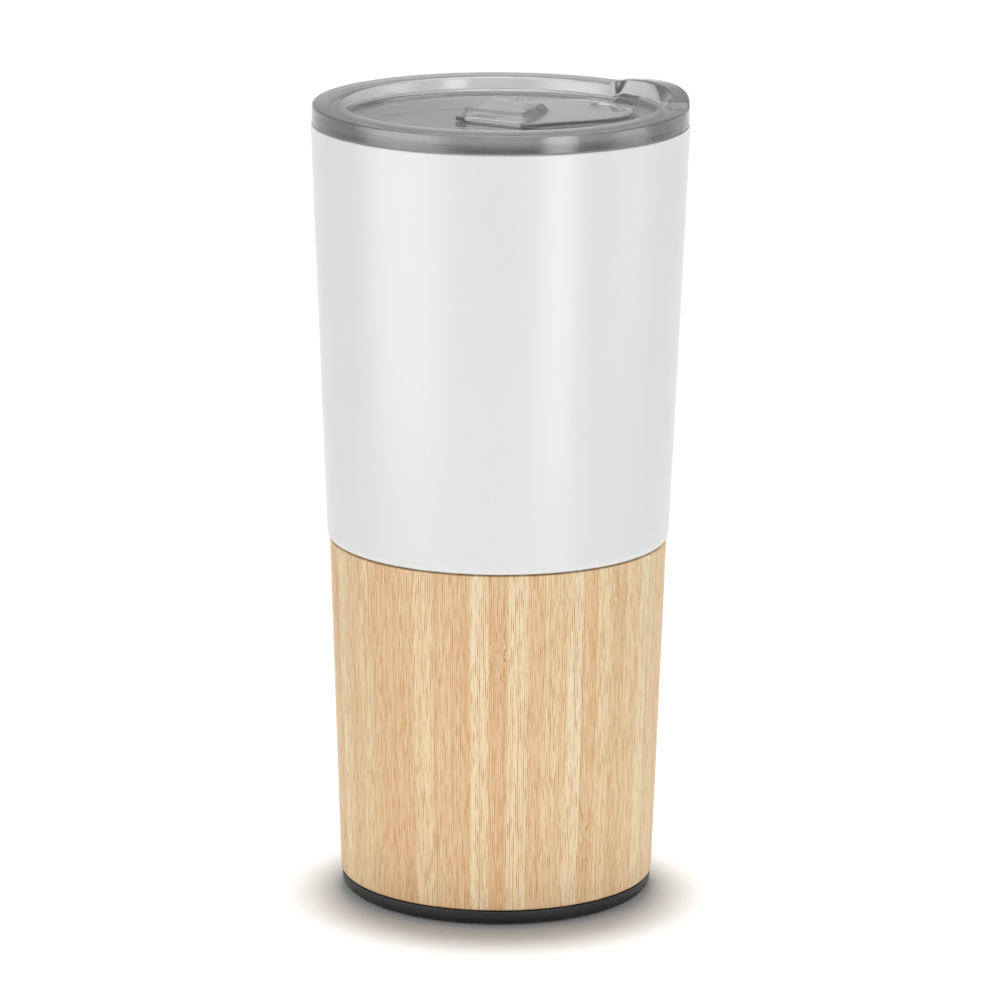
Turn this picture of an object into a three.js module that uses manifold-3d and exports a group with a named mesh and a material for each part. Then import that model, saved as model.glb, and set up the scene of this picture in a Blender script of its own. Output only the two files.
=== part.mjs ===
// Insulated tumbler: double-walled steel cup, bamboo sleeve, base cap and clear slide lid.
// Millimetres, +Z up, origin on the table at the cup's axis, +X towards the drinking spout.

import * as THREE from 'three';
import { mergeVertices } from 'three/addons/utils/BufferGeometryUtils.js';
import Module from 'manifold-3d';

const wasm = await Module();
wasm.setup();

// Fits
const FIT_CLEARANCE = 0.3;
const SEAT_CLEARANCE = 0.2;
const STEM_CLEARANCE = 0.15;

// Foot pad and base cap
const PAD_MARGIN = 6.8;
const PAD_THICKNESS = 1.2;
const PAD_PROUD = 0.4;
const PAD_EDGE = 0.4;
const BASE_INSET = 0.3;
const BASE_HEIGHT = 3.6;
const BASE_FLOOR = 2.2;
const BASE_EDGE_ROUND = 1.8;

// Bamboo sleeve
const SLEEVE_TAPER = 2.7;
const SLEEVE_WALL = 3;
const SLEEVE_FOOT_ROUND = 0.9;
const SLEEVE_TOP_ROUND = 0.3;

// Steel walls
const STEEL_WALL = 0.5;
const RIM_HEIGHT = 184.6;
const RIM_RADIUS = 44.2;
const SEAM_HEIGHT = 85.9;
const BODY_TAPER = 3.8;
const SHOULDER_TURN_IN = 0.6;
const SHOULDER_TURN_HEIGHT = 2.6;
const RIM_WIDTH = 2.4;
const VACUUM_GAP_AT_FLOOR = 4.6;
const LINER_FLOOR_HEIGHT = 12;
const LINER_CORNER = 8;

// Vacuum closure in the foot of the outer shell
const DISC_HEIGHT = 5;
const DIMPLE_RADIUS = 4.5;
const DIMPLE_DEPTH = 1.2;
const PUMP_HOLE_RADIUS = 1;
const GETTER_OFFSET = 15;
const GETTER_RADIUS = 4;
const GETTER_THICKNESS = 1.4;
const GETTER_EDGE = 0.3;
const CLIP_WIDTH = 4;
const CLIP_FOOT = 3;
const CLIP_STEEL = 0.3;

// Lid
const LID_INSET = 0.2;
const FLANGE_HEIGHT = 4.5;
const FLANGE_EDGE = 0.6;
const RING_WIDTH = 7.1;
const RECESS_DEPTH = 4.1;
const RECESS_DRAFT = 0.4;
const RECESS_FILLET_WIDTH = 1.9;
const RECESS_FILLET_HEIGHT = 1.3;
const LID_FLOOR = 2.2;
const PLUG_GAP = 2;
const PLUG_WALL = 2.2;
const PLUG_DEPTH = 10.6;
const PLUG_LEAD_IN = 0.8;
const GROOVE_HEIGHT = 4;
const GROOVE_DEPTH = 1.1;
const GROOVE_BELOW_FLANGE = 4.6;
const GASKET_LIP = 1.2;
const GASKET_LIP_ROOT = 0.9;

// Spout
const SPOUT_HALF_ANGLE = 29;
const SPOUT_LIP_WALL = 4.2;
const SPOUT_RISE = 2.2;
const SPOUT_END_RISE = 0.9;
const SCOOP_HALF_ANGLE = 23;
const SCOOP_LENGTH = 7;
const SCOOP_LIP_WALL = 4;
const SCOOP_TOP_RISE = 1;

// Slide track, drink hole and slide
const TRACK_SETBACK = 0.5;
const TRACK_LENGTH = 60.5;
const TRACK_WIDTH = 39;
const TRACK_RISE = 0.4;
const HOLE_SETBACK = 6;
const HOLE_LENGTH = 7;
const HOLE_WIDTH = 18;
const SLIDE_TRAVEL = 16;
const SLIDE_SETBACK = 1;
const SLIDE_LENGTH = 43;
const SLIDE_THICKNESS = 1;
const TONGUE_HALF_WIDTH = 14;
const TONGUE_CORNER = 13;
const GRIP_LENGTH = 25;
const GRIP_TOP_LENGTH = 18.5;
const GRIP_WIDTH = 31;
const GRIP_RISE = 1.7;
const DIMPLE_PLATE_FLOOR = 0.5;
const STEM_SETBACK = 22.5;
const STEM_LENGTH = 5;
const STEM_WIDTH = 4;
const KEEPER_LENGTH = 12;
const KEEPER_WIDTH = 12;
const KEEPER_THICKNESS = 1.6;
const KEEPER_CORNER = 3;

// Facets of round pieces
const TURNED_SEGMENTS = 48;
const ARC_STEPS = 4;
const CROWN_STEPS = 10;
const CORNER_STEPS = 6;

// Heights and radii that follow from the sizes above
const shoulderRadius = RIM_RADIUS - BODY_TAPER;
const sleeveTopRadius = shoulderRadius - SHOULDER_TURN_IN;
const sleeveFootRadius = sleeveTopRadius - SLEEVE_TAPER;
const baseRadius = sleeveFootRadius - BASE_INSET;
const padRadius = baseRadius - PAD_MARGIN;
const mouthRadius = RIM_RADIUS - RIM_WIDTH;
const lidRadius = RIM_RADIUS - LID_INSET;
const recessRadius = lidRadius - RING_WIDTH;
const plugRadius = mouthRadius - PLUG_GAP;
const scoopLipRadius = lidRadius - SCOOP_LIP_WALL;
const scoopFootRadius = scoopLipRadius - SCOOP_LENGTH;
const trackFront = scoopFootRadius - TRACK_SETBACK;
const trackRear = trackFront - TRACK_LENGTH;
const holeCentre = trackFront - HOLE_SETBACK;
const slideFront = trackFront - SLIDE_SETBACK;
const slideRear = slideFront - SLIDE_LENGTH;
const gripCentre = slideRear + GRIP_LENGTH / 2;
const stemCentre = slideFront - STEM_SETBACK;
const baseTop = PAD_PROUD + BASE_HEIGHT;
const baseFloorTop = PAD_PROUD + BASE_FLOOR;
const sleeveFoot = baseTop + SEAT_CLEARANCE;
const sleeveTop = SEAM_HEIGHT - FIT_CLEARANCE;
const shellFoot = baseFloorTop + SEAT_CLEARANCE;
const flangeSeat = RIM_HEIGHT + SEAT_CLEARANCE;
const lidTop = flangeSeat + FLANGE_HEIGHT;
const lidFloorTop = lidTop - RECESS_DEPTH;
const lidFloorBottom = lidFloorTop - LID_FLOOR;
const plugFoot = flangeSeat - PLUG_DEPTH;
const grooveTop = flangeSeat - GROOVE_BELOW_FLANGE;
const grooveBottom = grooveTop - GROOVE_HEIGHT;
const trackTop = lidFloorTop + TRACK_RISE;
const slideBottom = trackTop + FIT_CLEARANCE;
const slideTop = slideBottom + SLIDE_THICKNESS;
const keeperTop = lidFloorBottom - FIT_CLEARANCE;
const keeperBottom = keeperTop - KEEPER_THICKNESS;

function between(low, high, share) {
  return low + (high - low) * share;
}

function sleeveRadius(z) {
  return between(sleeveFootRadius, sleeveTopRadius, (z - sleeveFoot) / (sleeveTop - sleeveFoot));
}

// Outside of the shell's neck, which the sleeve slips over
function neckRadius(z) {
  return sleeveRadius(z) - SLEEVE_WALL - FIT_CLEARANCE;
}

// Inside of the liner's straight taper
function linerRadius(z) {
  const linerFloorRadius = neckRadius(LINER_FLOOR_HEIGHT) - 2 * STEEL_WALL - VACUUM_GAP_AT_FLOOR;
  const share = (z - LINER_FLOOR_HEIGHT) / (RIM_HEIGHT - LINER_FLOOR_HEIGHT);
  return between(linerFloorRadius, mouthRadius, share);
}

function point(radius, z) {
  return new THREE.Vector2(radius, z);
}

// Points of an elliptical arc, angles in degrees
function arc(centreRadius, centreZ, halfWidth, halfHeight, from, to) {
  const points = [];
  for (let step = 0; step <= ARC_STEPS; step += 1) {
    const angle = THREE.MathUtils.degToRad(between(from, to, step / ARC_STEPS));
    points.push(point(centreRadius + halfWidth * Math.cos(angle), centreZ + halfHeight * Math.sin(angle)));
  }
  return points;
}

// Turns a profile about Z. The profile runs up the outside and ends on the axis.
function turned(profile) {
  return new THREE.LatheGeometry(profile, TURNED_SEGMENTS).rotateX(Math.PI / 2);
}

// Turns a closed ring section about Z
function turnedRing(section) {
  return turned([...section, section[0].clone()]);
}

function plate(shape, bottom, top) {
  const options = { depth: top - bottom, bevelEnabled: false, curveSegments: CORNER_STEPS };
  return new THREE.ExtrudeGeometry(shape, options).translate(0, 0, bottom);
}

function roundedRectangle(xMin, xMax, halfWidth, corner) {
  const shape = new THREE.Shape();
  shape.moveTo(xMin + corner, -halfWidth);
  shape.lineTo(xMax - corner, -halfWidth);
  shape.absarc(xMax - corner, -halfWidth + corner, corner, -Math.PI / 2, 0);
  shape.lineTo(xMax, halfWidth - corner);
  shape.absarc(xMax - corner, halfWidth - corner, corner, 0, Math.PI / 2);
  shape.lineTo(xMin + corner, halfWidth);
  shape.absarc(xMin + corner, halfWidth - corner, corner, Math.PI / 2, Math.PI);
  shape.lineTo(xMin, -halfWidth + corner);
  shape.absarc(xMin + corner, -halfWidth + corner, corner, Math.PI, 1.5 * Math.PI);
  return shape;
}

function oval(xMin, xMax, halfWidth) {
  const points = [];
  for (let step = 0; step < TURNED_SEGMENTS; step += 1) {
    const angle = (2 * Math.PI * step) / TURNED_SEGMENTS;
    points.push(point((xMin + xMax) / 2 + ((xMax - xMin) / 2) * Math.cos(angle), halfWidth * Math.sin(angle)));
  }
  return new THREE.Shape(points);
}

// Tongue with a round front, which widens to the grip and runs to a point behind it
function slideOutline() {
  const tongueCentre = slideFront - TONGUE_CORNER;
  const cornerSide = TONGUE_HALF_WIDTH - TONGUE_CORNER;
  const shape = new THREE.Shape();
  shape.moveTo(slideRear, 0);
  shape.lineTo(gripCentre, -GRIP_WIDTH / 2);
  shape.lineTo(tongueCentre, -TONGUE_HALF_WIDTH);
  shape.absarc(tongueCentre, -cornerSide, TONGUE_CORNER, -Math.PI / 2, 0);
  shape.lineTo(slideFront, cornerSide);
  shape.absarc(tongueCentre, cornerSide, TONGUE_CORNER, 0, Math.PI / 2);
  shape.lineTo(gripCentre, GRIP_WIDTH / 2);
  return shape;
}

// Triangular prism that covers a sector either side of +X
function sector(halfAngle, bottom, top) {
  const reach = 2 * lidRadius;
  const half = THREE.MathUtils.degToRad(halfAngle);
  const shape = new THREE.Shape();
  shape.moveTo(0, 0);
  shape.lineTo(reach, -reach * Math.tan(half));
  shape.lineTo(reach, reach * Math.tan(half));
  return plate(shape, bottom, top);
}

function solid(geometry) {
  const bare = geometry.clone();
  bare.deleteAttribute('normal');
  bare.deleteAttribute('uv');
  const merged = mergeVertices(bare, 1e-4);
  const vertProperties = new Float32Array(merged.attributes.position.array);
  const triVerts = new Uint32Array(merged.index.array);
  return new wasm.Manifold(new wasm.Mesh({ numProp: 3, vertProperties, triVerts }));
}

function geometryOf(body) {
  const data = body.getMesh();
  const geometry = new THREE.BufferGeometry();
  geometry.setAttribute('position', new THREE.BufferAttribute(data.vertProperties, 3));
  geometry.setIndex(new THREE.BufferAttribute(data.triVerts, 1));
  geometry.computeVertexNormals();
  return geometry;
}

function finish(color, roughness, metalness, opacity = 1) {
  return new THREE.MeshStandardMaterial({ color, roughness, metalness, opacity, transparent: opacity < 1 });
}

const whitePaint = finish(0xe9e9e8, 0.35, 0);
const bareSteel = finish(0xb9bcc0, 0.3, 1);
const bamboo = finish(0xdcb583, 0.55, 0);
const blackPlastic = finish(0x2e2f30, 0.5, 0);
const smokePlastic = finish(0xa9abad, 0.08, 0, 0.45);
const silicone = finish(0xd4d6d8, 0.6, 0, 0.8);
const padRubber = finish(0x232425, 0.85, 0);
const getterGrey = finish(0x6f7276, 0.8, 0.3);
const sealGlass = finish(0x8f8a80, 0.4, 0.2);

function footPad() {
  return turned([
    point(0, 0),
    point(padRadius - PAD_EDGE, 0),
    point(padRadius, PAD_EDGE),
    point(padRadius, PAD_THICKNESS),
    point(0, PAD_THICKNESS),
  ]);
}

// Dish that holds the foot of the shell and carries the sleeve on its ring
function baseCap() {
  const recess = padRadius + FIT_CLEARANCE;
  const pocket = neckRadius(baseTop) + FIT_CLEARANCE;
  const round = BASE_EDGE_ROUND;
  return turned([
    point(0, PAD_THICKNESS),
    point(recess, PAD_THICKNESS),
    point(recess, PAD_PROUD),
    ...arc(baseRadius - round, PAD_PROUD + round, round, round, -90, 0),
    point(baseRadius, baseTop),
    point(pocket, baseTop),
    point(pocket, baseFloorTop),
    point(0, baseFloorTop),
  ]);
}

function bambooSleeve() {
  const foot = SLEEVE_FOOT_ROUND;
  const top = SLEEVE_TOP_ROUND;
  return turnedRing([
    point(sleeveRadius(sleeveFoot) - SLEEVE_WALL, sleeveFoot),
    ...arc(sleeveRadius(sleeveFoot) - foot, sleeveFoot + foot, foot, foot, -90, 0),
    ...arc(sleeveRadius(sleeveTop) - top, sleeveTop - top, top, top, 0, 90),
    point(sleeveRadius(sleeveTop) - SLEEVE_WALL, sleeveTop),
  ]);
}

// Painted cone above the seam, and the neck below it inside the sleeve
function outerShell() {
  const turnCentre = shoulderRadius - SHOULDER_TURN_IN;
  const turnTop = SEAM_HEIGHT + SHOULDER_TURN_HEIGHT;
  const outerTurn = arc(turnCentre, turnTop, SHOULDER_TURN_IN, SHOULDER_TURN_HEIGHT, -90, 0);
  const innerTurn = arc(
    turnCentre - STEEL_WALL, turnTop, SHOULDER_TURN_IN, SHOULDER_TURN_HEIGHT - STEEL_WALL, 0, -90,
  );
  return turnedRing([
    point(neckRadius(shellFoot) - STEEL_WALL, shellFoot),
    point(neckRadius(shellFoot), shellFoot),
    point(neckRadius(SEAM_HEIGHT), SEAM_HEIGHT),
    ...outerTurn,
    point(RIM_RADIUS, RIM_HEIGHT),
    point(RIM_RADIUS - STEEL_WALL, RIM_HEIGHT),
    ...innerTurn,
    point(neckRadius(SEAM_HEIGHT) - STEEL_WALL, SEAM_HEIGHT + STEEL_WALL),
  ]);
}

// Drink cup, with a lip that meets the top of the outer shell
function innerLiner() {
  const lipRadius = RIM_RADIUS - STEEL_WALL - FIT_CLEARANCE;
  const lipUnderside = RIM_HEIGHT - STEEL_WALL;
  const cornerCentre = linerRadius(LINER_FLOOR_HEIGHT) - LINER_CORNER;
  const cornerTop = LINER_FLOOR_HEIGHT + LINER_CORNER;
  const outerCorner = LINER_CORNER + STEEL_WALL;
  return turned([
    point(0, LINER_FLOOR_HEIGHT - STEEL_WALL),
    ...arc(cornerCentre, cornerTop, outerCorner, outerCorner, -90, 0),
    point(linerRadius(lipUnderside) + STEEL_WALL, lipUnderside),
    point(lipRadius, lipUnderside),
    point(lipRadius, RIM_HEIGHT),
    point(linerRadius(RIM_HEIGHT), RIM_HEIGHT),
    ...arc(cornerCentre, cornerTop, LINER_CORNER, LINER_CORNER, 0, -90),
    point(0, LINER_FLOOR_HEIGHT),
  ]);
}

// Disc welded into the foot of the shell, with a dimple and a pump-out hole in its middle
function outerBottom() {
  const edge = neckRadius(shellFoot) - STEEL_WALL - FIT_CLEARANCE;
  const discTop = DISC_HEIGHT + STEEL_WALL;
  return turnedRing([
    point(edge - STEEL_WALL, shellFoot),
    point(edge, shellFoot),
    point(edge, discTop),
    point(DIMPLE_RADIUS + STEEL_WALL, discTop),
    point(DIMPLE_RADIUS + STEEL_WALL, discTop + DIMPLE_DEPTH),
    point(PUMP_HOLE_RADIUS, discTop + DIMPLE_DEPTH),
    point(PUMP_HOLE_RADIUS, DISC_HEIGHT + DIMPLE_DEPTH),
    point(DIMPLE_RADIUS, DISC_HEIGHT + DIMPLE_DEPTH),
    point(DIMPLE_RADIUS, DISC_HEIGHT),
    point(edge - STEEL_WALL, DISC_HEIGHT),
  ]);
}

// Bead that fills the dimple under the pump-out hole
function vacuumSeal() {
  const radius = DIMPLE_RADIUS - FIT_CLEARANCE;
  const top = DISC_HEIGHT + DIMPLE_DEPTH - SEAT_CLEARANCE;
  return turned([
    point(0, DISC_HEIGHT),
    ...arc(0, DISC_HEIGHT + DIMPLE_DEPTH / 2, radius, DIMPLE_DEPTH / 2, -60, 0),
    point(radius, top),
    point(0, top),
  ]);
}

function getterPellet() {
  return turned([
    point(0, 0),
    point(GETTER_RADIUS, 0),
    point(GETTER_RADIUS, GETTER_THICKNESS - GETTER_EDGE),
    point(GETTER_RADIUS - GETTER_EDGE, GETTER_THICKNESS),
    point(0, GETTER_THICKNESS),
  ]);
}

// Strap bent over the pellet, with a foot on the disc at either side
function getterClip() {
  const legIn = GETTER_RADIUS + FIT_CLEARANCE;
  const legOut = legIn + CLIP_STEEL;
  const footOut = legOut + CLIP_FOOT;
  const bridge = GETTER_THICKNESS + SEAT_CLEARANCE;
  const half = [
    [footOut, 0],
    [footOut, CLIP_STEEL],
    [legOut, CLIP_STEEL],
    [legOut, bridge + CLIP_STEEL],
  ];
  const inner = [
    [legIn, bridge],
    [legIn, 0],
  ];
  const outline = [
    ...half,
    ...half.map(([x, z]) => [-x, z]).reverse(),
    ...inner.map(([x, z]) => [-x, z]).reverse(),
    ...inner,
  ];
  const shape = new THREE.Shape(outline.map(([x, z]) => point(x, z)));
  return plate(shape, -CLIP_WIDTH / 2, CLIP_WIDTH / 2).rotateX(Math.PI / 2);
}

// Flange, recessed floor and plug, before the spout and the slide track
function lidBlank() {
  const recessFoot = lidFloorTop + RECESS_FILLET_HEIGHT;
  const wallFoot = recessRadius - RECESS_DRAFT;
  return turned([
    point(0, lidFloorBottom),
    point(plugRadius - PLUG_WALL, lidFloorBottom),
    point(plugRadius - PLUG_WALL, plugFoot),
    point(plugRadius - PLUG_LEAD_IN, plugFoot),
    point(plugRadius, plugFoot + PLUG_LEAD_IN),
    point(plugRadius, grooveBottom),
    point(plugRadius - GROOVE_DEPTH, grooveBottom),
    point(plugRadius - GROOVE_DEPTH, grooveTop),
    point(plugRadius, grooveTop),
    point(plugRadius, flangeSeat),
    point(lidRadius - FLANGE_EDGE, flangeSeat),
    point(lidRadius, flangeSeat + FLANGE_EDGE),
    point(lidRadius, lidTop - FLANGE_EDGE),
    point(lidRadius - FLANGE_EDGE, lidTop),
    point(recessRadius + FLANGE_EDGE, lidTop),
    point(recessRadius, lidTop - FLANGE_EDGE),
    point(wallFoot, recessFoot),
    point(wallFoot - RECESS_FILLET_WIDTH, lidFloorTop),
    point(0, lidFloorTop),
  ]);
}

// Raised lip on the flange, highest in its middle
function spoutLip() {
  const bottom = lidTop - 2 * FLANGE_EDGE;
  const ring = turnedRing([
    point(lidRadius - SPOUT_LIP_WALL, bottom),
    point(lidRadius, bottom),
    point(lidRadius, lidTop + SPOUT_RISE),
    point(lidRadius - SPOUT_LIP_WALL, lidTop + SPOUT_RISE),
  ]);
  const halfWidth = lidRadius * Math.sin(THREE.MathUtils.degToRad(SPOUT_HALF_ANGLE));
  const crown = new THREE.Shape();
  crown.moveTo(-halfWidth, bottom);
  crown.lineTo(halfWidth, bottom);
  for (let step = 0; step <= CROWN_STEPS; step += 1) {
    const across = between(1, -1, step / CROWN_STEPS);
    crown.lineTo(halfWidth * across, lidTop + between(SPOUT_RISE, SPOUT_END_RISE, across * across));
  }
  const crownBlock = plate(crown, 0, 2 * lidRadius).rotateX(Math.PI / 2).rotateZ(Math.PI / 2);
  return solid(ring).intersect(solid(crownBlock));
}

// Sloped cut from the floor up to the spout's lip
function spoutScoop() {
  const above = lidTop + 2 * SPOUT_RISE;
  const ring = turnedRing([
    point(scoopFootRadius, lidFloorTop),
    point(scoopLipRadius, lidTop + SCOOP_TOP_RISE),
    point(scoopLipRadius, above),
    point(scoopFootRadius, above),
  ]);
  return solid(ring).intersect(solid(sector(SCOOP_HALF_ANGLE, lidFloorBottom, above)));
}

function lidBody() {
  const track = oval(trackRear, trackFront, TRACK_WIDTH / 2);
  const hole = roundedRectangle(
    holeCentre - HOLE_LENGTH / 2, holeCentre + HOLE_LENGTH / 2, HOLE_WIDTH / 2, HOLE_LENGTH / 2,
  );
  const slotHalfWidth = STEM_WIDTH / 2 + FIT_CLEARANCE;
  const slotReach = STEM_LENGTH / 2 + FIT_CLEARANCE;
  const slot = roundedRectangle(
    stemCentre - SLIDE_TRAVEL - slotReach, stemCentre + slotReach, slotHalfWidth, FIT_CLEARANCE,
  );
  const below = lidFloorBottom - LID_FLOOR;
  const above = trackTop + LID_FLOOR;
  return geometryOf(
    solid(lidBlank())
      .add(spoutLip())
      .subtract(spoutScoop())
      .add(solid(plate(track, lidFloorTop - LID_FLOOR / 2, trackTop)))
      .subtract(solid(plate(hole, below, above)))
      .subtract(solid(plate(slot, below, above))),
  );
}

// Ring in the plug's groove, with two lips that reach for the liner
function lidGasket() {
  const inner = plugRadius - GROOVE_DEPTH + SEAT_CLEARANCE;
  const bottom = grooveBottom + SEAT_CLEARANCE;
  const top = grooveTop - SEAT_CLEARANCE;
  const middle = (bottom + top) / 2;
  const lipReach = (z) => linerRadius(z) - FIT_CLEARANCE;
  const lowerLip = bottom + GASKET_LIP;
  return turnedRing([
    point(inner, bottom),
    point(plugRadius, bottom),
    point(lipReach(bottom), bottom + GASKET_LIP / 2),
    point(lipReach(bottom), lowerLip),
    point(inner + GASKET_LIP_ROOT, middle),
    point(lipReach(middle), top - GASKET_LIP / 2),
    point(lipReach(middle), top),
    point(inner, top),
  ]);
}

// Plate over the drink hole, rhombic thumb grip, and a stem through the slot
function slider() {
  const dimple = roundedRectangle(
    holeCentre - HOLE_LENGTH / 2, holeCentre + HOLE_LENGTH / 2, HOLE_WIDTH / 2, HOLE_LENGTH / 2,
  );
  const gripHeight = GRIP_RISE + SLIDE_THICKNESS / 2;
  const grip = new THREE.CylinderGeometry(GRIP_TOP_LENGTH / 2, GRIP_LENGTH / 2, gripHeight, 4)
    .rotateX(Math.PI / 2)
    .scale(1, GRIP_WIDTH / GRIP_LENGTH, 1)
    .translate(gripCentre, 0, slideTop + GRIP_RISE - gripHeight / 2);
  const stemTop = slideBottom + SLIDE_THICKNESS / 2;
  const stem = new THREE.BoxGeometry(STEM_LENGTH, STEM_WIDTH, stemTop - keeperBottom)
    .translate(stemCentre, 0, (stemTop + keeperBottom) / 2);
  return geometryOf(
    solid(plate(slideOutline(), slideBottom, slideTop))
      .subtract(solid(plate(dimple, slideBottom + DIMPLE_PLATE_FLOOR, slideTop + SLIDE_THICKNESS)))
      .add(solid(grip))
      .add(solid(stem)),
  );
}

// Clip on the foot of the stem, wider than the slot
function sliderKeeper() {
  const outline = roundedRectangle(
    stemCentre - KEEPER_LENGTH / 2, stemCentre + KEEPER_LENGTH / 2, KEEPER_WIDTH / 2, KEEPER_CORNER,
  );
  const socket = new THREE.BoxGeometry(
    STEM_LENGTH + 2 * STEM_CLEARANCE, STEM_WIDTH + 2 * STEM_CLEARANCE, 2 * KEEPER_THICKNESS,
  ).translate(stemCentre, 0, (keeperTop + keeperBottom) / 2);
  return geometryOf(solid(plate(outline, keeperBottom, keeperTop)).subtract(solid(socket)));
}

function piece(name, geometry, material) {
  const mesh = new THREE.Mesh(geometry, material);
  mesh.name = name;
  return mesh;
}

function vesselGroup() {
  const vessel = new THREE.Group();
  vessel.add(
    piece('foot_pad', footPad(), padRubber),
    piece('base_cap', baseCap(), blackPlastic),
    piece('bamboo_sleeve', bambooSleeve(), bamboo),
    piece('outer_shell', outerShell(), whitePaint),
    piece('inner_liner', innerLiner(), bareSteel),
    piece('outer_bottom', outerBottom(), bareSteel),
    piece('vacuum_seal', vacuumSeal(), sealGlass),
  );
  const getter = new THREE.Group();
  getter.position.set(GETTER_OFFSET, 0, DISC_HEIGHT + STEEL_WALL);
  getter.add(piece('getter_pellet', getterPellet(), getterGrey));
  getter.add(piece('getter_clip', getterClip(), bareSteel));
  vessel.add(getter);
  return vessel;
}

function lidGroup() {
  const lid = new THREE.Group();
  lid.add(
    piece('lid_body', lidBody(), smokePlastic),
    piece('lid_gasket', lidGasket(), silicone),
    piece('slider', slider(), smokePlastic),
    piece('slider_keeper', sliderKeeper(), smokePlastic),
  );
  return lid;
}

const tumbler = new THREE.Group();
tumbler.add(vesselGroup(), lidGroup());

export default tumbler;
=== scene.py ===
import math

import bmesh
import bpy
from mathutils import Matrix, Vector


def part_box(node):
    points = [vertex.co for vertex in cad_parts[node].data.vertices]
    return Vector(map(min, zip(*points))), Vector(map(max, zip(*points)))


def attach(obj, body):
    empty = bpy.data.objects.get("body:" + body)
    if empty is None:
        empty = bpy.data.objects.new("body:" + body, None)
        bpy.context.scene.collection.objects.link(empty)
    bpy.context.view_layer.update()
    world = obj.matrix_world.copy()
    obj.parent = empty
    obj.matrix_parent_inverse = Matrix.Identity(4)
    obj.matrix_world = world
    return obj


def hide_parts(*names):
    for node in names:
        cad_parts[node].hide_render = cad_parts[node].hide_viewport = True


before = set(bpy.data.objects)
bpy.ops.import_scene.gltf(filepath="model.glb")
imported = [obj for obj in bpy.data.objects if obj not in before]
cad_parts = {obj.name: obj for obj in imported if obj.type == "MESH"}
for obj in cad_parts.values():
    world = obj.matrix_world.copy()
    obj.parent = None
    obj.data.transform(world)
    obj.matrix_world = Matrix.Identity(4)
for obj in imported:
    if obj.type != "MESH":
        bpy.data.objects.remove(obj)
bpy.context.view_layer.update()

MM = 0.001

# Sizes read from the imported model
shell_low, shell_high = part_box("outer_shell")
sleeve_low, sleeve_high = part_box("bamboo_sleeve")
base_low, base_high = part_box("base_cap")
liner_low, liner_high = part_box("inner_liner")
gasket_low, gasket_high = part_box("lid_gasket")
lid_low, lid_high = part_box("lid_body")
slider_low, slider_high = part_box("slider")

RIM_HEIGHT = shell_high.z
RIM_RADIUS = shell_high.x
SLEEVE_TOP_RADIUS = sleeve_high.x
SLEEVE_FOOT = sleeve_low.z
SLEEVE_TOP = sleeve_high.z
BASE_RADIUS = base_high.x
LID_RADIUS = lid_high.x
PLUG_FOOT = lid_low.z
SLIDE_FRONT = slider_high.x
SLIDE_REAR = slider_low.x
GRIP_HALF_WIDTH = slider_high.y
STEM_FOOT = slider_low.z

# Sizes of the vessel
STEEL_WALL = 0.5 * MM
SEAM_HEIGHT = SLEEVE_TOP + 0.3 * MM
SHOULDER_TURN_IN = 0.6 * MM
SHOULDER_TURN_HEIGHT = 2.6 * MM
SLEEVE_TAPER = 2.7 * MM
SLEEVE_WALL = 3 * MM
NECK_GAP = 0.3 * MM
LINER_INSET = 2.4 * MM
LINER_FLOOR_INSET = 4.6 * MM
LINER_CORNER = 8.5 * MM
BASE_EDGE = 2.2 * MM
PAD_GAP = 0.3 * MM
FOOT_GAP = 0.2 * MM
SHOULDER_ROUNDING = 1.6 * MM

# Sizes of the lid
SEAT = RIM_HEIGHT + 0.2 * MM
LID_TOP = SEAT + 4.5 * MM
LID_FLOOR_TOP = LID_TOP - 4.1 * MM
LID_FLOOR_BOTTOM = LID_FLOOR_TOP - 2.2 * MM
RECESS_RADIUS = LID_RADIUS - 7.1 * MM
RECESS_DRAFT = 0.4 * MM
RECESS_FILLET = 1.7 * MM
SCOOP_FILLET = 4 * MM
PLUG_RADIUS = RIM_RADIUS - 4.4 * MM
PLUG_WALL = 2.2 * MM
GROOVE_DEPTH = 1.1 * MM
GROOVE_GAP = 0.2 * MM
SCOOP_LIP = LID_RADIUS - 4 * MM
SCOOP_FOOT = LID_RADIUS - 11 * MM
SPOUT_RISE = lid_high.z - LID_TOP
SPOUT_END_RISE = 0.9 * MM
SPOUT_HALF_ANGLE = math.radians(26)
SPOUT_RAMP = math.radians(1.1)
SCOOP_HALF_ANGLE = math.radians(23.2)
SCOOP_RAMP = math.radians(1.4)
TRACK_FRONT = SLIDE_FRONT + 1 * MM
TRACK_HALF_LENGTH = 30.25 * MM
TRACK_HALF_WIDTH = 19.5 * MM
TRACK_TOP = LID_FLOOR_TOP + 0.4 * MM
TRACK_GROOVE = 0.35 * MM
HOLE_CENTRE = TRACK_FRONT - 6 * MM
HOLE_HALF_LENGTH = 3.5 * MM
HOLE_HALF_WIDTH = 9 * MM
HOLE_EDGE = 0.15 * MM
SLIDE_BOTTOM = TRACK_TOP + 0.3 * MM
SLIDE_TOP = SLIDE_BOTTOM + 1 * MM
SLIDE_TRAVEL = 16 * MM
TONGUE_HALF_WIDTH = 14 * MM
TONGUE_CORNER = 13 * MM
POCKET_HALF_LENGTH = 2.8 * MM
POCKET_HALF_WIDTH = 6.5 * MM
POCKET_DEPTH = 0.5 * MM
GRIP_HALF_LENGTH = 12.5 * MM
GRIP_CENTRE = SLIDE_REAR + GRIP_HALF_LENGTH
GRIP_SLOPE = 2.4 * MM
GRIP_TOP = slider_high.z
GRIP_WALL = 1.3 * MM
STEM_CENTRE = SLIDE_FRONT - 22.5 * MM
STEM_HALF_LENGTH = 2.5 * MM
STEM_HALF_WIDTH = 2 * MM
SLOT_GAP = 0.3 * MM
FINE_EDGE = 0.1 * MM

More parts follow.
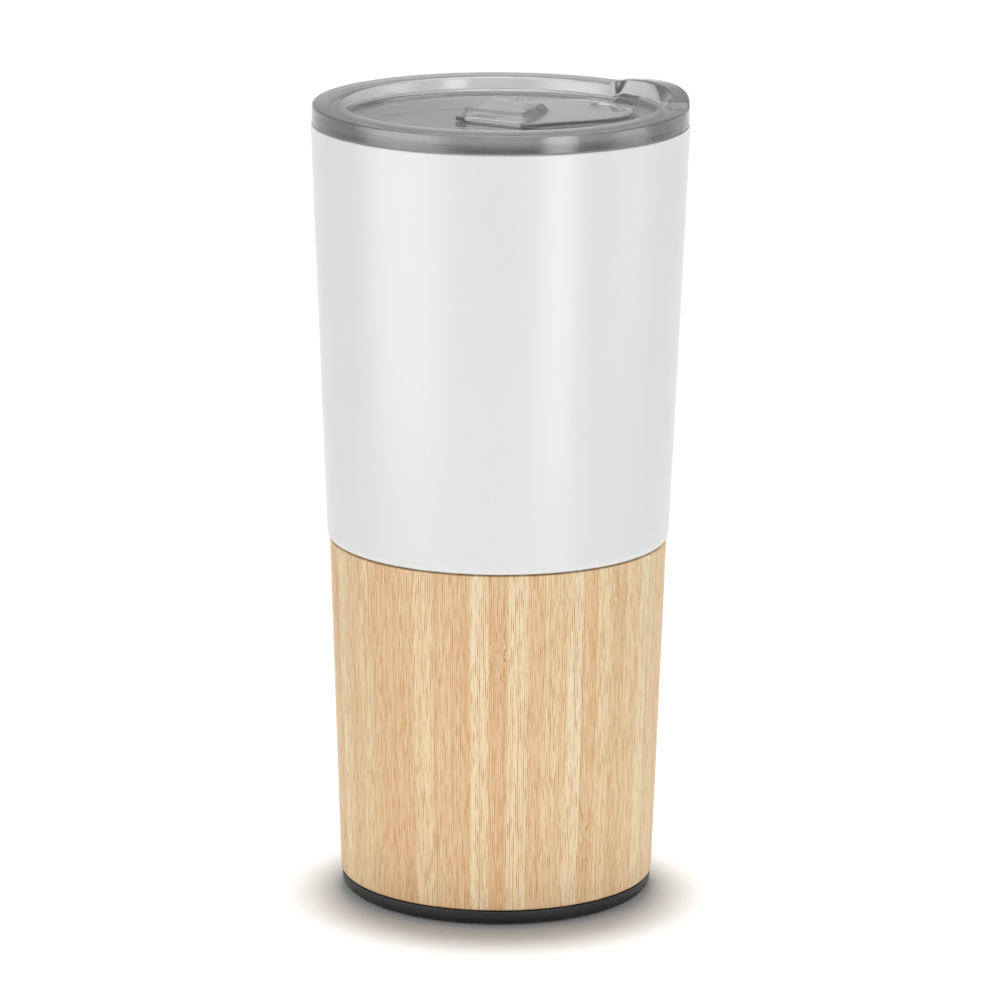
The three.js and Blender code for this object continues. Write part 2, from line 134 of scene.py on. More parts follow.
# The bamboo's figure, in lines per millimetre round the sleeve and millimetres up it
STRIPS_PER_MM = 0.22
LINES_PER_MM = 4.3
GLUE_LINES_PER_MM = 0.045
GLUE_LINE_WIDTH = 0.008
NODE_HEIGHTS = (-45, 145)
NODE_REACH = (1, 12)
NODE_SWAY = 3

# The bamboo's colours
STRIP_TONES = [
    (0.20, (0.77, 0.51, 0.27)),
    (0.45, (0.83, 0.615, 0.357)),
    (0.60, (0.855, 0.67, 0.408)),
    (0.85, (0.915, 0.81, 0.54)),
]
FIBRE_COLOUR = (0.72, 0.42, 0.19, 1)
PALE_COLOUR = (0.97, 0.87, 0.64, 1)
LINE_COLOUR = (0.64, 0.30, 0.11, 1)
DASH_COLOUR = (0.56, 0.25, 0.08, 1)
NODE_COLOUR = (0.62, 0.38, 0.19, 1)
GLUE_COLOUR = (0.46, 0.22, 0.09, 1)

# The lid's plastic, whose tint deepens with its thickness
SMOKE_COLOUR = (0.87, 0.875, 0.88, 1)
SMOKE_TINT = (0.5, 0.5, 0.51, 1)
SMOKE_DENSITY = 125
SMOKE_IOR = 1.56

# The steel's brush lines
BRUSH_STRETCH = 0.4
BRUSH_LINES = 900

# Dark and pale tones between which each plain material varies
PAINT_TONES = ((0.785, 0.785, 0.785), (0.805, 0.805, 0.805))
STEEL_TONES = ((0.56, 0.56, 0.56), (0.68, 0.68, 0.68))
BLACK_TONES = ((0.016, 0.016, 0.017), (0.022, 0.022, 0.023))
PAD_TONES = ((0.014, 0.014, 0.014), (0.024, 0.024, 0.024))
SILICONE_TONES = ((0.66, 0.67, 0.68), (0.74, 0.75, 0.76))
GETTER_TONES = ((0.16, 0.16, 0.17), (0.24, 0.24, 0.25))
SEAL_TONES = ((0.26, 0.23, 0.18), (0.34, 0.31, 0.26))

# Noise scales, in cells per metre, and the levels that most of a noise lies between
PAINT_PEEL = 700
PAINT_SPECKLE = 1600
PLASTIC_GRAIN = 2500
PLASTIC_CLOUD = 60
PAD_GRAIN = 1800
SMOKE_HAZE = 90
SILICONE_HAZE = 300
POWDER_GRAIN = 3000
NOISE_ENDS = (0.3, 0.7)

# How finely round shapes are cut, the angle from which an edge is shown sharp,
# and the radius below which a turned point lies on the axis
ROUND_SEGMENTS = 256
ARC_STEPS = 6
CORNER_STEPS = 10
SHARP_ANGLE = math.radians(38)
AXIS_RADIUS = 1e-7

# The photograph's camera, fitted to the rim, seam and base ellipses
PHOTO_AZIMUTH = math.radians(-19)
CAMERA_SIDE = 0.4 * MM
CAMERA_DISTANCE = 1345.6 * MM
CAMERA_HEIGHT = 420.1 * MM
CAMERA_PITCH = 0.2376
CAMERA_ROLL = 0.0061
SENSOR_WIDTH = 36
LENS = 210.85
CLIP_START = 0.05
CLIP_END = 50

# Light levels, where 1 shows a white surface as white
SKY_LEVEL = 1.06
SKY_SIDES = 0.55
ROOM_LEVEL = 0.5
FLOOR_GLOW = 0.03
OVERHEAD_LEVEL = 0.8

# Heights in the sky, as the upward part of a direction, between which its light changes
SKY_ENDS = (0.47, 0.67)
HORIZON_ENDS = (0.02, 0.17)

# The overhead light and the floor
OVERHEAD_ANGLE = math.radians(6)
OVERHEAD_TILT = math.radians(-2.5)
FLOOR_HALF_WIDTH = 6.0
FLOOR_COLOUR = (0.9, 0.9, 0.9, 1)

# Cards that show in shiny surfaces: degrees from the camera, metres and light levels
WHITE = (1, 1, 1, 1)
CARD_FADE = 0.4
CARD_TALL = 0.28
STANDING_CARDS = {
    "left_card": {"azimuth": -58, "distance": 0.42, "width": 0.64, "level": 3.5},
    "right_card": {"azimuth": 35, "distance": 0.42, "width": 0.22, "level": 4.9},
    "side_card": {"azimuth": 85, "distance": 0.6, "width": 0.5, "level": 2.0},
}
TOP_CARD = {"width": 4.0, "depth": 3.2, "height": 1.4, "forward": 0.6, "level": 3.0}


def between(low, high, share):
    return low + (high - low) * share


def smooth_step(low, high, value):
    share = min(1, max(0, (value - low) / (high - low)))
    return share * share * (3 - 2 * share)


# Outlines

def fillet(before, corner, after, radius, steps):
    """Points of the arc that rounds one corner of an outline."""
    towards_before = (before - corner).normalized()
    towards_after = (after - corner).normalized()
    half = towards_before.angle(towards_after) / 2
    reach = radius / math.tan(half)
    centre = corner + (towards_before + towards_after).normalized() * (radius / math.sin(half))
    start = corner + towards_before * reach - centre
    turn = start.angle_signed(corner + towards_after * reach - centre)
    points = []
    for step in range(steps + 1):
        angle = math.atan2(start.y, start.x) - turn * step / steps
        points.append(centre + Vector((radius * math.cos(angle), radius * math.sin(angle))))
    return points


def rounded_outline(corners, steps=ARC_STEPS):
    """Outline through (x, y, radius) corners, with each corner that has a radius rounded."""
    places = [Vector((x, y)) for x, y, _ in corners]
    points = []
    for index, (_, _, radius) in enumerate(corners):
        if radius == 0:
            points.append(places[index])
            continue
        before = places[index - 1]
        after = places[(index + 1) % len(places)]
        points.extend(fillet(before, places[index], after, radius, steps))
    return points


def grown(corners, grow):
    """Convex outline, counter-clockwise, whose sides are all moved outwards by grow."""
    places = [Vector((x, y)) for x, y, _ in corners]
    moved = []
    for index, (_, _, radius) in enumerate(corners):
        to_corner = (places[index] - places[index - 1]).normalized()
        from_corner = (places[(index + 1) % len(places)] - places[index]).normalized()
        first = Vector((to_corner.y, -to_corner.x))
        second = Vector((from_corner.y, -from_corner.x))
        place = places[index] + (first + second) * (grow / (1 + first.dot(second)))
        moved.append((place.x, place.y, max(radius + grow, FINE_EDGE)))
    return rounded_outline(moved, CORNER_STEPS)


def rectangle(x_low, x_high, half_width, corner):
    return [
        (x_low, -half_width, corner),
        (x_high, -half_width, corner),
        (x_high, half_width, corner),
        (x_low, half_width, corner),
    ]


def oval(centre, half_length, half_width):
    points = []
    for step in range(ROUND_SEGMENTS // 2):
        angle = 4 * math.pi * step / ROUND_SEGMENTS
        points.append(Vector((centre + half_length * math.cos(angle), half_width * math.sin(angle))))
    return points


# Meshes

def add_loop(bm, points, z):
    return [bm.verts.new((point.x, point.y, z)) for point in points]


def loft(bm, loops):
    """Quads between closed loops that have the same number of points."""
    for lower, upper in zip(loops, loops[1:]):
        count = len(lower)
        for index in range(count):
            following = (index + 1) % count
            bm.faces.new((lower[index], lower[following], upper[following], upper[index]))


def wall(bm, corners, section):
    """Wall along an outline, whose section has (outwards, z, rounding) corners."""
    loops = [add_loop(bm, grown(corners, step.x), step.y) for step in rounded_outline(section)]
    loft(bm, loops)
    return loops


def fill_flat(bm, loops):
    """Fills a flat face between an outer loop and any loops inside it."""
    bm.edges.index_update()
    edges = []
    for loop in loops:
        for index, vert in enumerate(loop):
            following = loop[(index + 1) % len(loop)]
            edges.append(bm.edges.get((vert, following)) or bm.edges.new((vert, following)))
    bmesh.ops.triangle_fill(bm, use_beauty=True, edges=edges)


def add_turned(bm, point, angle):
    """Vertex for a (radius, z) point, turned round the axis by an angle."""
    return bm.verts.new((point.x * math.cos(angle), point.x * math.sin(angle), point.y))


def turned_loops(bm, profile):
    """One ring of points for each point of a profile, or one point where it meets the axis."""
    loops = []
    for point in profile:
        if point.x < AXIS_RADIUS:
            loops.append([bm.verts.new((0, 0, point.y))])
            continue
        angles = [2 * math.pi * step / ROUND_SEGMENTS for step in range(ROUND_SEGMENTS)]
        loops.append([add_turned(bm, point, angle) for angle in angles])
    return loops


def join_rings(bm, loops):
    """Faces between rings, where a ring on the axis is one point."""
    for lower, upper in zip(loops, loops[1:]):
        count = max(len(lower), len(upper))
        for index in range(count):
            following = (index + 1) % count
            if len(lower) == 1:
                bm.faces.new((lower[0], upper[following], upper[index]))
            elif len(upper) == 1:
                bm.faces.new((lower[index], lower[following], upper[0]))
            else:
                bm.faces.new((lower[index], lower[following], upper[following], upper[index]))


def turned(corners, closed):
    """Solid of revolution from (radius, z, rounding) corners."""
    bm = bmesh.new()
    loops = turned_loops(bm, rounded_outline(corners))
    if closed:
        loops.append(loops[0])
    join_rings(bm, loops)
    return bm


def make_piece(name, bm, material, body, node):
    """Turns a bmesh into a piece that rides on a body and stands for a node."""
    bmesh.ops.recalc_face_normals(bm, faces=bm.faces)
    bm.normal_update()
    for face in bm.faces:
        face.smooth = True
    for edge in bm.edges:
        if edge.is_manifold and edge.calc_face_angle(0) > SHARP_ANGLE:
            edge.smooth = False
    mesh = bpy.data.meshes.new(name)
    bm.to_mesh(mesh)
    bm.free()
    piece = bpy.data.objects.new(name, mesh)
    bpy.context.scene.collection.objects.link(piece)
    mesh.materials.append(material)
    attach(piece, body)
    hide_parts(node)


# Materials

class Nodes:
    """Short calls for building a node tree."""

    def __init__(self, tree):
        self.tree = tree

    def add(self, kind):
        return self.tree.nodes.new(kind)

    def link(self, source, target):
        self.tree.links.new(source, target)

    def feed(self, socket, value):
        if isinstance(value, bpy.types.NodeSocket):
            self.link(value, socket)
        else:
            socket.default_value = value

    def math(self, operation, first, second=0.0, third=0.0):
        node = self.add("ShaderNodeMath")
        node.operation = operation
        for socket, value in zip(node.inputs, (first, second, third)):
            self.feed(socket, value)
        return node.outputs[0]

    def split(self, vector):
        node = self.add("ShaderNodeSeparateXYZ")
        self.link(vector, node.inputs[0])
        return node.outputs

    def dot(self, vector, axis):
        node = self.add("ShaderNodeVectorMath")
        node.operation = "DOT_PRODUCT"
        self.link(vector, node.inputs[0])
        node.inputs[1].default_value = axis
        return node.outputs["Value"]

    def span(self, value, from_low, from_high, to_low, to_high, curve="LINEAR"):
        """Value moved from one range to another and kept inside it."""
        node = self.add("ShaderNodeMapRange")
        node.interpolation_type = curve
        for socket, given in zip(node.inputs, (value, from_low, from_high, to_low, to_high)):
            self.feed(socket, given)
        return node.outputs[0]

    def blend(self, share, first, second):
        """Number between two others."""
        node = self.add("ShaderNodeMix")
        for name, value in (("Factor", share), ("A", first), ("B", second)):
            self.feed(node.inputs[name], value)
        return node.outputs[0]


class MaterialNodes(Nodes):
    """Short calls for building a material."""

    def __init__(self, name):
        self.material = bpy.data.materials.new(name)
        self.material.use_nodes = True
        super().__init__(self.material.node_tree)
        self.shader = self.tree.nodes["Principled BSDF"]
        self.output = self.tree.nodes["Material Output"]

    def set(self, **values):
        for name, value in values.items():
            self.feed(self.shader.inputs[name.replace("_", " ")], value)

    def position(self):
        return self.add("ShaderNodeTexCoord").outputs["Object"]

    def join(self, x, y, z):
        node = self.add("ShaderNodeCombineXYZ")
        for socket, value in zip(node.inputs, (x, y, z)):
            self.feed(socket, value)
        return node.outputs[0]

    def noise(self, vector, scale, detail=2.0, roughness=0.5):
        node = self.add("ShaderNodeTexNoise")
        self.link(vector, node.inputs["Vector"])
        node.inputs["Scale"].default_value = scale
        node.inputs["Detail"].default_value = detail
        node.inputs["Roughness"].default_value = roughness
        return node.outputs["Fac"]

    def random(self, value):
        node = self.add("ShaderNodeTexWhiteNoise")
        node.noise_dimensions = "1D"
        self.feed(node.inputs["W"], value)
        return node.outputs["Value"]

    def strips(self, value, scale, softness):
        """Random levels of strips along one direction, with soft and with hard edges."""
        levels = []
        for feature in ("SMOOTH_F1", "F1"):
            node = self.add("ShaderNodeTexVoronoi")
            node.voronoi_dimensions = "1D"
            node.feature = feature
            self.link(value, node.inputs["W"])
            node.inputs["Scale"].default_value = scale
            if feature == "SMOOTH_F1":
                node.inputs["Smoothness"].default_value = softness
            levels.append(self.split(node.outputs["Color"])[0])
        return levels

    def edges(self, value, scale, width):
        """Mask of the lines between such strips."""
        node = self.add("ShaderNodeTexVoronoi")
        node.voronoi_dimensions = "1D"
        node.feature = "DISTANCE_TO_EDGE"
        self.link(value, node.inputs["W"])
        node.inputs["Scale"].default_value = scale
        return self.span(node.outputs["Distance"], 0, width, 1, 0)

    def ramp(self, value, stops):
        node = self.add("ShaderNodeValToRGB")
        self.link(value, node.inputs[0])
        elements = node.color_ramp.elements
        while len(elements) < len(stops):
            elements.new(0.5)
        for element, (place, colour) in zip(elements, stops):
            element.position = place
            element.color = (*colour, 1)
        return node.outputs["Color"]

    def tones(self, value, pair, ends=NOISE_ENDS):
        """Colour that goes from the dark to the pale tone of a pair."""
        return self.ramp(value, list(zip(ends, pair)))

    def mix(self, share, first, second):
        """Colour between two others, whose sockets come after those for numbers and vectors."""
        node = self.add("ShaderNodeMix")
        node.data_type = "RGBA"
        for index, value in ((0, share), (6, first), (7, second)):
            self.feed(node.inputs[index], value)
        return node.outputs[2]

    def bump(self, height, strength, distance):
        node = self.add("ShaderNodeBump")
        self.link(height, node.inputs["Height"])
        node.inputs["Strength"].default_value = strength
        node.inputs["Distance"].default_value = distance
        self.link(node.outputs["Normal"], self.shader.inputs["Normal"])


def white_paint():
    nodes = MaterialNodes("white_paint")
    place = nodes.position()
    orange_peel = nodes.noise(place, PAINT_PEEL, 2)
    speckle = nodes.noise(place, PAINT_SPECKLE, 1)
    nodes.set(Base_Color=nodes.tones(speckle, PAINT_TONES, (0, 1)))
    nodes.set(Roughness=nodes.span(speckle, 0, 1, 0.27, 0.31), Specular_IOR_Level=0.36)
    nodes.bump(orange_peel, 0.05, 0.05 * MM)
    return nodes.material


def bare_steel():
    nodes = MaterialNodes("bare_steel")
    x, y, z = nodes.split(nodes.position())
    angle = nodes.math("ARCTAN2", y, x)
    along = nodes.math("MULTIPLY", angle, BRUSH_STRETCH)
    lines = nodes.noise(nodes.join(along, 0, nodes.math("MULTIPLY", z, BRUSH_LINES)), 3, 3)
    nodes.set(Base_Color=nodes.tones(lines, STEEL_TONES), Metallic=1.0)
    nodes.set(Roughness=nodes.span(lines, *NOISE_ENDS, 0.18, 0.30))
    nodes.bump(lines, 0.1, 0.02 * MM)
    return nodes.material


def bamboo():
    """Upright laminated strips with fine fibres, dark dashes, glue lines and a few node figures."""
    nodes = MaterialNodes("bamboo")
    x, y, z = nodes.split(nodes.position())
    angle = nodes.math("ARCTAN2", y, x)
    around = nodes.math("MULTIPLY", angle, SLEEVE_TOP_RADIUS / MM)
    height = nodes.math("DIVIDE", z, MM)
    tone, strip = nodes.strips(around, STRIPS_PER_MM, 0.35)
    shift = nodes.math("MULTIPLY", nodes.math("ROUND", nodes.math("MULTIPLY", strip, 40)), 17.3)

    node_height = nodes.span(nodes.random(shift), 0, 1, *NODE_HEIGHTS)
    from_node = nodes.math("ABSOLUTE", nodes.math("SUBTRACT", height, node_height))
    near_node = nodes.span(from_node, *NODE_REACH, 1, 0)
    wave_place = nodes.join(nodes.math("MULTIPLY", around, 0.5), nodes.math("MULTIPLY", height, 0.3), 91)
    waves = nodes.noise(wave_place, 1, 1)
    sway = nodes.math("MULTIPLY", nodes.math("SUBTRACT", waves, 0.5), near_node)
    swayed = nodes.math("MULTIPLY_ADD", sway, NODE_SWAY, around)

    line = nodes.math("FLOOR", nodes.math("MULTIPLY", swayed, LINES_PER_MM))
    odd_lines = nodes.math("FLOORED_MODULO", line, 2)
    even_lines = nodes.math("SUBTRACT", 1, odd_lines)

    def grain(across, along, seed, detail):
        crosswise = nodes.math("MULTIPLY", swayed, across)
        lengthwise = nodes.math("MULTIPLY_ADD", height, along, shift)
        return nodes.noise(nodes.join(crosswise, lengthwise, seed), 1, detail, 0.6)

    def streaks(along, seed, low, high, share, chosen):
        start = nodes.math("MULTIPLY", nodes.random(nodes.math("ADD", line, seed)), 50)
        lengthwise = nodes.math("MULTIPLY_ADD", height, along, start)
        level = nodes.noise(nodes.join(nodes.math("MULTIPLY", line, 3.37), lengthwise, seed), 1, 1)
        return nodes.math("MULTIPLY", nodes.span(level, low, high, 0, share), chosen)

    bands = grain(0.45, 0.008, 3, 2)
    fibres = grain(2.1, 0.10, 11, 2)
    mottle = grain(0.9, 0.35, 51, 3)
    lines = streaks(0.02, 0.71, 0.50, 0.70, 0.7, even_lines)
    pale = streaks(0.2, 0.23, 0.40, 0.70, 0.5, odd_lines)
    dashes = streaks(0.22, 0.37, 0.45, 0.70, 0.9, even_lines)

    level = nodes.math("ADD", nodes.math("MULTIPLY", tone, 0.6), nodes.math("MULTIPLY", bands, 0.4))
    tones = nodes.ramp(level, STRIP_TONES)
    coloured = nodes.mix(nodes.span(fibres, 0.30, 0.60, 0.18, 0), tones, FIBRE_COLOUR)
    coloured = nodes.mix(pale, coloured, PALE_COLOUR)
    coloured = nodes.mix(lines, coloured, LINE_COLOUR)
    coloured = nodes.mix(dashes, coloured, DASH_COLOUR)
    figure = nodes.math("MULTIPLY", near_node, nodes.span(mottle, 0.40, 0.62, 0, 0.5))
    coloured = nodes.mix(figure, coloured, NODE_COLOUR)

    joints = nodes.edges(around, GLUE_LINES_PER_MM, GLUE_LINE_WIDTH)
    glue_line = nodes.math("MULTIPLY", joints, nodes.span(bands, 0.3, 0.6, 0.2, 0.7))
    finished = nodes.mix(glue_line, coloured, GLUE_COLOUR)
    nodes.set(Base_Color=finished)
    nodes.set(Roughness=nodes.span(fibres, *NOISE_ENDS, 0.55, 0.68), Specular_IOR_Level=0.3)
    nodes.bump(nodes.math("SUBTRACT", fibres, dashes), 0.1, 0.05 * MM)
    return nodes.material


def black_plastic():
    nodes = MaterialNodes("black_plastic")
    place = nodes.position()
    grain = nodes.noise(place, PLASTIC_GRAIN, 2)
    cloud = nodes.noise(place, PLASTIC_CLOUD, 2)
    nodes.set(Base_Color=nodes.tones(cloud, BLACK_TONES))
    nodes.set(Roughness=nodes.span(grain, *NOISE_ENDS, 0.40, 0.55), Specular_IOR_Level=0.3)
    nodes.bump(grain, 0.15, 0.05 * MM)
    return nodes.material


def pad_rubber():
    nodes = MaterialNodes("pad_rubber")
    grain = nodes.noise(nodes.position(), PAD_GRAIN, 3)
    nodes.set(Base_Color=nodes.tones(grain, PAD_TONES))
    nodes.set(Roughness=nodes.span(grain, *NOISE_ENDS, 0.75, 0.95))
    nodes.bump(grain, 0.4, 0.1 * MM)
    return nodes.material


def smoke_plastic():
    nodes = MaterialNodes("smoke_plastic")
    haze = nodes.noise(nodes.position(), SMOKE_HAZE, 2)
    nodes.set(Base_Color=SMOKE_COLOUR)
    nodes.set(Transmission_Weight=0.9, IOR=SMOKE_IOR)
    nodes.set(Roughness=nodes.span(haze, *NOISE_ENDS, 0.01, 0.03))
    absorb = nodes.add("ShaderNodeVolumeAbsorption")
    absorb.inputs["Color"].default_value = SMOKE_TINT
    absorb.inputs["Density"].default_value = SMOKE_DENSITY
    nodes.link(absorb.outputs[0], nodes.output.inputs["Volume"])
    return nodes.material


def silicone():
    nodes = MaterialNodes("silicone")
    haze = nodes.noise(nodes.position(), SILICONE_HAZE, 2)
    nodes.set(Base_Color=nodes.tones(haze, SILICONE_TONES))
    nodes.set(Roughness=nodes.span(haze, *NOISE_ENDS, 0.5, 0.65))
    nodes.set(Subsurface_Weight=0.3)
    return nodes.material


def powder(name, tones):
    nodes = MaterialNodes(name)
    grain = nodes.noise(nodes.position(), POWDER_GRAIN, 3)
    nodes.set(Base_Color=nodes.tones(grain, tones))
    nodes.set(Roughness=nodes.span(grain, *NOISE_ENDS, 0.6, 0.85))
    nodes.bump(grain, 0.3, 0.05 * MM)
    return nodes.material


# Pieces of the vessel

def sleeve_radius(z):
    return SLEEVE_TOP_RADIUS - SLEEVE_TAPER * (SLEEVE_TOP - z) / (SLEEVE_TOP - SLEEVE_FOOT)


def neck_radius(z):
    return sleeve_radius(z) - SLEEVE_WALL - NECK_GAP


def make_shell(material):
    shoulder = SLEEVE_TOP_RADIUS + SHOULDER_TURN_IN
    turn_top = SEAM_HEIGHT + SHOULDER_TURN_HEIGHT
    foot = shell_low.z
    inside = RIM_RADIUS - STEEL_WALL
    bm = turned([
        (neck_radius(foot) - STEEL_WALL, foot, 0),
        (neck_radius(foot), foot, 0),
        (neck_radius(SEAM_HEIGHT), SEAM_HEIGHT, 0.3 * MM),
        (shoulder - 2 * SHOULDER_TURN_IN, SEAM_HEIGHT, 0),
        (shoulder - 0.1 * MM, SEAM_HEIGHT + 0.2 * MM, SHOULDER_ROUNDING),
        (shoulder, turn_top, 0),
        (RIM_RADIUS, RIM_HEIGHT, 0.24 * MM),
        (inside, RIM_HEIGHT, FINE_EDGE),
        (shoulder - STEEL_WALL, turn_top, 0),
        (shoulder - 2 * STEEL_WALL, SEAM_HEIGHT + STEEL_WALL, 0.5 * MM),
        (neck_radius(SEAM_HEIGHT) - STEEL_WALL, SEAM_HEIGHT + STEEL_WALL, 0.3 * MM),
    ], True)
    make_piece("painted_shell", bm, material, "vessel", "outer_shell")


def make_sleeve(material):
    foot_radius = sleeve_radius(SLEEVE_FOOT)
    bm = turned([
        (foot_radius - SLEEVE_WALL, SLEEVE_FOOT, 0.2 * MM),
        (foot_radius, SLEEVE_FOOT, 0.9 * MM),
        (SLEEVE_TOP_RADIUS, SLEEVE_TOP, 0.3 * MM),
        (SLEEVE_TOP_RADIUS - SLEEVE_WALL, SLEEVE_TOP, 0.2 * MM),
    ], True)
    make_piece("bamboo_wrap", bm, material, "vessel", "bamboo_sleeve")


def make_base(material):
    _, pad_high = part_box("foot_pad")
    recess = pad_high.x + PAD_GAP
    floor_top = shell_low.z - FOOT_GAP
    pocket = neck_radius(base_high.z) + NECK_GAP
    bm = turned([
        (0, pad_high.z, 0),
        (recess, pad_high.z, FINE_EDGE),
        (recess, base_low.z, 0.2 * MM),
        (BASE_RADIUS, base_low.z, BASE_EDGE),
        (BASE_RADIUS, base_high.z, 0.25 * MM),
        (pocket, base_high.z, FINE_EDGE),
        (pocket, floor_top, FINE_EDGE),
        (0, floor_top, 0),
    ], False)
    make_piece("base_ring", bm, material, "vessel", "base_cap")


def make_liner(material):
    mouth = RIM_RADIUS - LINER_INSET
    floor = liner_low.z
    floor_radius = neck_radius(floor) - STEEL_WALL - LINER_FLOOR_INSET
    lip = liner_high.x
    under = RIM_HEIGHT - STEEL_WALL
    bm = turned([
        (0, floor, 0),
        (floor_radius, floor, LINER_CORNER),
        (mouth + STEEL_WALL, under, 0.5 * MM),
        (lip, under, 0),
        (lip, RIM_HEIGHT, 0.2 * MM),
        (mouth, RIM_HEIGHT, 0.4 * MM),
        (floor_radius - STEEL_WALL, floor + STEEL_WALL, LINER_CORNER - STEEL_WALL),
        (0, floor + STEEL_WALL, 0),
    ], False)
    make_piece("drink_cup", bm, material, "vessel", "inner_liner")


# Pieces of the lid

def lid_angles():
    """Angles round the lid, closer together where the spout and the scoop begin."""
    angles = [2 * math.pi * step / ROUND_SEGMENTS - math.pi for step in range(ROUND_SEGMENTS)]
    for edge, ramp in ((SPOUT_HALF_ANGLE, SPOUT_RAMP), (SCOOP_HALF_ANGLE, SCOOP_RAMP)):
        for step in range(-8, 9):
            for side in (-1, 1):
                angles.append(side * edge + ramp * step / 7)
    return sorted(angles)


def lid_section(angle):
    """Section of the lid's ring, from the recess floor over the ring to the plug's inside."""
    away = abs(angle)
    scoop = 1 - smooth_step(SCOOP_HALF_ANGLE - SCOOP_RAMP, SCOOP_HALF_ANGLE + SCOOP_RAMP, away)
    spout = 1 - smooth_step(SPOUT_HALF_ANGLE - SPOUT_RAMP, SPOUT_HALF_ANGLE + SPOUT_RAMP, away)
    crown = min(1, away / SPOUT_HALF_ANGLE) ** 2
    top = LID_TOP + spout * between(SPOUT_RISE, SPOUT_END_RISE, crown)
    wall_foot = RECESS_RADIUS - RECESS_DRAFT
    foot = between(wall_foot - 1.3 * RECESS_FILLET, SCOOP_FOOT, scoop)
    knee = between(wall_foot, SCOOP_FOOT + 4.5 * MM, scoop)
    knee_z = between(LID_FLOOR_TOP, LID_FLOOR_TOP + 1.3 * MM, scoop)
    inner_edge = between(RECESS_RADIUS, SCOOP_LIP, scoop)
    groove_top = gasket_high.z + GROOVE_GAP
    groove_bottom = gasket_low.z - GROOVE_GAP
    groove = PLUG_RADIUS - GROOVE_DEPTH
    inside = PLUG_RADIUS - PLUG_WALL
    return rounded_outline([
        (foot, LID_FLOOR_TOP, 0),
        (knee, knee_z, between(RECESS_FILLET, SCOOP_FILLET, scoop)),
        (inner_edge, top, between(0.55, 0.9, spout) * MM),
        (LID_RADIUS, top, between(0.6, 0.9, spout) * MM),
        (LID_RADIUS, SEAT, 0.35 * MM),
        (PLUG_RADIUS, SEAT, 0.3 * MM),
        (PLUG_RADIUS, groove_top, FINE_EDGE),
        (groove, groove_top, FINE_EDGE),
        (groove, groove_bottom, FINE_EDGE),
        (PLUG_RADIUS, groove_bottom, FINE_EDGE),
        (PLUG_RADIUS, PLUG_FOOT, 0.7 * MM),
        (inside, PLUG_FOOT, 0.4 * MM),
        (inside, LID_FLOOR_BOTTOM, 0.8 * MM),
        (inside - 2 * MM, LID_FLOOR_BOTTOM, 0),
    ])


def hole_loops(bm, corners, top, bottom, edge):
    """Wall of a hole with both rims rounded outwards, from which the two end loops are returned."""
    loops = wall(bm, corners, [
        (2 * edge, top, 0),
        (0, top, edge),
        (0, bottom, edge),
        (2 * edge, bottom, 0),
    ])
    return loops[0], loops[-1]


def make_lid(material):
    bm = bmesh.new()
    angles = lid_angles()
    sections = [lid_section(angle) for angle in angles]
    rings = []
    for points in zip(*sections):
        rings.append([add_turned(bm, point, angle) for point, angle in zip(points, angles)])
    loft(bm, rings)

    hole = rectangle(
        HOLE_CENTRE - HOLE_HALF_LENGTH,
        HOLE_CENTRE + HOLE_HALF_LENGTH,
        HOLE_HALF_WIDTH,
        HOLE_HALF_LENGTH,
    )
    slot_reach = STEM_HALF_LENGTH + SLOT_GAP
    slot = rectangle(
        STEM_CENTRE - SLIDE_TRAVEL - slot_reach,
        STEM_CENTRE + slot_reach,
        STEM_HALF_WIDTH + SLOT_GAP,
        0.4 * MM,
    )
    track_side = rounded_outline([
        (0.8 * MM, LID_FLOOR_TOP, 0),
        (0.45 * MM, LID_FLOOR_TOP, 0.06 * MM),
        (0.42 * MM, LID_FLOOR_TOP - TRACK_GROOVE, 0.08 * MM),
        (0, LID_FLOOR_TOP - TRACK_GROOVE, 0.08 * MM),
        (-0.1 * MM, TRACK_TOP, 0.15 * MM),
        (-0.5 * MM, TRACK_TOP, 0),
    ])
    track_centre = TRACK_FRONT - TRACK_HALF_LENGTH
    track_loops = []
    for step in track_side:
        outline = oval(track_centre, TRACK_HALF_LENGTH + step.x, TRACK_HALF_WIDTH + step.x)
        track_loops.append(add_loop(bm, outline, step.y))
    loft(bm, track_loops)
    hole_top, hole_bottom = hole_loops(bm, hole, TRACK_TOP, LID_FLOOR_BOTTOM, HOLE_EDGE)
    slot_top, slot_bottom = hole_loops(bm, slot, TRACK_TOP, LID_FLOOR_BOTTOM, FINE_EDGE)
    fill_flat(bm, [rings[0], track_loops[0]])
    fill_flat(bm, [track_loops[-1], hole_top, slot_top])
    fill_flat(bm, [rings[-1], hole_bottom, slot_bottom])
    make_piece("clear_lid", bm, material, "lid", "lid_body")


def make_gasket(material):
    inner = PLUG_RADIUS - GROOVE_DEPTH + GROOVE_GAP
    outer = gasket_high.x
    bottom, top = gasket_low.z, gasket_high.z
    middle = (bottom + top) / 2
    lip = 0.6 * MM
    bm = turned([
        (inner, bottom, FINE_EDGE),
        (PLUG_RADIUS, bottom, FINE_EDGE),
        (outer - 0.1 * MM, bottom + lip, 0.2 * MM),
        (outer - 0.1 * MM, bottom + 2 * lip, 0.2 * MM),
        (inner + 0.9 * MM, middle, 0.3 * MM),
        (outer, top - lip, 0.2 * MM),
        (outer, top, 0.2 * MM),
        (inner, top, FINE_EDGE),
    ], True)
    make_piece("seal_ring", bm, material, "lid", "lid_gasket")


